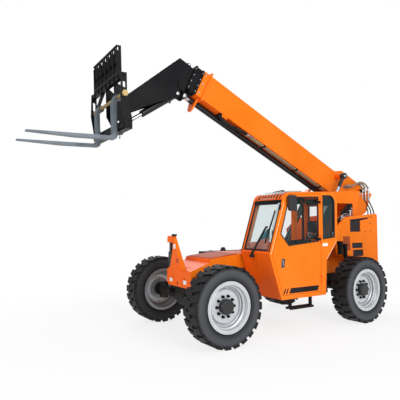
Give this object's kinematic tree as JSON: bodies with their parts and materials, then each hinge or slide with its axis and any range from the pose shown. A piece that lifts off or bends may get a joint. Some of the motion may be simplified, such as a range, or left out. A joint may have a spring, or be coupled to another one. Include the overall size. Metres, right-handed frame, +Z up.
{
  "type": "telescopic handler",
  "caption": "Telescopic handler: a side cab and four steered wheels carry a raised telescoping boom with a tilting fork carriage for lifting pallets to height.",
  "frame": {"origin": "centre of the bounding box at ground level", "axes": "X forward towards the fork tips, Y to the left, Z up"},
  "size_m": [7.7941, 2.57, 4.8442],
  "materials": {
    "orange_paint": "gloss",
    "black_metal": "semi-gloss",
    "dark_casting": "painted",
    "counterweight_iron": "painted",
    "tank_paint": "semi-gloss",
    "clear_glass": "clear",
    "seat_vinyl": "matt",
    "cab_plastic": "matt",
    "black_paint": "semi-gloss",
    "chrome_rod": "polished",
    "carriage_paint": "semi-gloss",
    "plated_shaft": "yellow plated",
    "fork_steel": "dull",
    "rim_paint": "semi-gloss",
    "tyre_rubber": "matt"
  },
  "bodies": {
    "chassis": {"chassis_frame": "orange_paint", "front_deck": "orange_paint", "sway_cylinder": "black_metal", "front_axle": "dark_casting", "rear_axle": "dark_casting", "engine": "dark_casting", "engine_panels": "orange_paint", "engine_grilles": "black_metal", "rear_counterweight": "counterweight_iron", "fuel_tank": "tank_paint", "hydraulic_filter": "black_metal", "boom_guard": "orange_paint", "cab_frame": "orange_paint", "cab_cowl": "orange_paint", "cab_roof": "orange_paint", "cab_glass": "clear_glass", "cab_seat": "seat_vinyl", "cab_console": "cab_plastic", "cab_step": "black_metal"},
    "door": {"cab_door": "orange_paint", "door_glass": "clear_glass", "mirror": "black_metal"},
    "boom_outer": {"boom_outer": "orange_paint", "extend_barrel": "black_metal"},
    "boom_mid": {"boom_mid": "black_paint", "extend_rod": "chrome_rod"},
    "boom_fly": {"boom_fly": "black_paint", "gooseneck": "black_paint"},
    "carriage": {"carriage_frame": "carriage_paint", "load_backrest": "carriage_paint", "fork_shaft": "plated_shaft", "forks": "fork_steel"},
    "lift_barrels": {"lift_barrels": "black_metal"},
    "lift_rods": {"lift_rods": "chrome_rod"},
    "slave_barrel": {"slave_barrel": "black_metal"},
    "slave_rod": {"slave_rod": "chrome_rod"},
    "tilt_barrel": {"tilt_barrel": "black_metal"},
    "tilt_rod": {"tilt_rod": "chrome_rod"},
    "knuckle_fl": {"knuckle_fl": "dark_casting"},
    "wheel_fl": {"wheel_fl": "rim_paint", "tyre_fl": "tyre_rubber"},
    "knuckle_fr": {"knuckle_fr": "dark_casting"},
    "wheel_fr": {"wheel_fr": "rim_paint", "tyre_fr": "tyre_rubber"},
    "knuckle_rl": {"knuckle_rl": "dark_casting"},
    "wheel_rl": {"wheel_rl": "rim_paint", "tyre_rl": "tyre_rubber"},
    "knuckle_rr": {"knuckle_rr": "dark_casting"},
    "wheel_rr": {"wheel_rr": "rim_paint", "tyre_rr": "tyre_rubber"}
  },
  "joints": [
    {"name": "boom_lift", "type": "hinge", "parent": "chassis", "child": "boom_outer", "pos_m": [-3.40333, 0, 2.31], "axis": [0, -1, 0], "range_deg": [-30, 45]},
    {"name": "mid_extend", "type": "slide", "parent": "boom_outer", "child": "boom_mid", "axis": [0.9063, 0, 0.4226], "range_m": [0, 3.2]},
    {"name": "fly_extend", "type": "slide", "parent": "boom_mid", "child": "boom_fly", "axis": [0.9063, 0, 0.4226], "range_m": [0, 3.2]},
    {"name": "carriage_tilt", "type": "hinge", "parent": "boom_fly", "child": "carriage", "pos_m": [2.23667, 0, 3.88], "axis": [0, 1, 0], "range_deg": [-25, 65]},
    {"name": "door_hinge", "type": "hinge", "parent": "chassis", "child": "door", "pos_m": [-1.02333, 1.214, 1.5], "axis": [0, 0, 1], "range_deg": [0, 100]},
    {"name": "lift_barrels_swing", "type": "hinge", "parent": "chassis", "child": "lift_barrels", "pos_m": [-1.38733, 0, 1], "axis": [0, -1, 0], "range_deg": [-3.54, 5.06]},
    {"name": "lift_rods_slide", "type": "slide", "parent": "lift_barrels", "child": "lift_rods", "axis": [-0.5373, 0, 0.8434], "range_m": [-0.4944, 0.7391]},
    {"name": "slave_barrel_swing", "type": "hinge", "parent": "chassis", "child": "slave_barrel", "pos_m": [-2.61833, 0.305, 1.997], "axis": [0, -1, 0], "range_deg": [-7.54, 11.05]},
    {"name": "slave_rod_slide", "type": "slide", "parent": "slave_barrel", "child": "slave_rod", "axis": [-0.7523, 0, 0.6589], "range_m": [-0.1326, 0.1964]},
    {"name": "tilt_barrel_swing", "type": "hinge", "parent": "boom_fly", "child": "tilt_barrel", "pos_m": [1.38667, 0, 4.181], "axis": [0, -1, 0], "range_deg": [-12.83, 5.24]},
    {"name": "tilt_rod_slide", "type": "slide", "parent": "tilt_barrel", "child": "tilt_rod", "axis": [0.8303, 0, -0.5573], "range_m": [-0.3388, 0.1334]},
    {"name": "steer_fl", "type": "hinge", "parent": "chassis", "child": "knuckle_fl", "pos_m": [1.06667, 0.86, 0.635], "axis": [0, 0, 1], "range_deg": [-35, 35]},
    {"name": "spin_fl", "type": "hinge", "parent": "knuckle_fl", "child": "wheel_fl", "pos_m": [1.06667, 1.1, 0.635], "axis": [0, 1, 0], "continuous": true},
    {"name": "steer_fr", "type": "hinge", "parent": "chassis", "child": "knuckle_fr", "pos_m": [1.06667, -0.86, 0.635], "axis": [0, 0, 1], "range_deg": [-35.5, 35.5]},
    {"name": "spin_fr", "type": "hinge", "parent": "knuckle_fr", "child": "wheel_fr", "pos_m": [1.06667, -1.1, 0.635], "axis": [0, 1, 0], "continuous": true},
    {"name": "steer_rl", "type": "hinge", "parent": "chassis", "child": "knuckle_rl", "pos_m": [-2.21333, 0.86, 0.635], "axis": [0, 0, 1], "range_deg": [-35, 35]},
    {"name": "spin_rl", "type": "hinge", "parent": "knuckle_rl", "child": "wheel_rl", "pos_m": [-2.21333, 1.1, 0.635], "axis": [0, 1, 0], "continuous": true},
    {"name": "steer_rr", "type": "hinge", "parent": "chassis", "child": "knuckle_rr", "pos_m": [-2.21333, -0.86, 0.635], "axis": [0, 0, 1], "range_deg": [-35.5, 35.5]},
    {"name": "spin_rr", "type": "hinge", "parent": "knuckle_rr", "child": "wheel_rr", "pos_m": [-2.21333, -1.1, 0.635], "axis": [0, 1, 0], "continuous": true}
  ],
  "couplings": [
    {"joint": "fly_extend", "follows": "mid_extend", "ratio": 1},
    {"joint": "lift_barrels_swing", "follows": "boom_lift", "ratio": 0.10127},
    {"joint": "lift_rods_slide", "follows": "boom_lift", "m_per_rad": 0.93474},
    {"joint": "slave_barrel_swing", "follows": "boom_lift", "ratio": 0.23454},
    {"joint": "slave_rod_slide", "follows": "boom_lift", "m_per_rad": 0.24374},
    {"joint": "tilt_barrel_swing", "follows": "carriage_tilt", "ratio": -0.18965},
    {"joint": "tilt_rod_slide", "follows": "carriage_tilt", "m_per_rad": -0.29427},
    {"joint": "steer_fr", "follows": "steer_fl", "ratio": 1},
    {"joint": "steer_rr", "follows": "steer_rl", "ratio": 1}
  ]
}
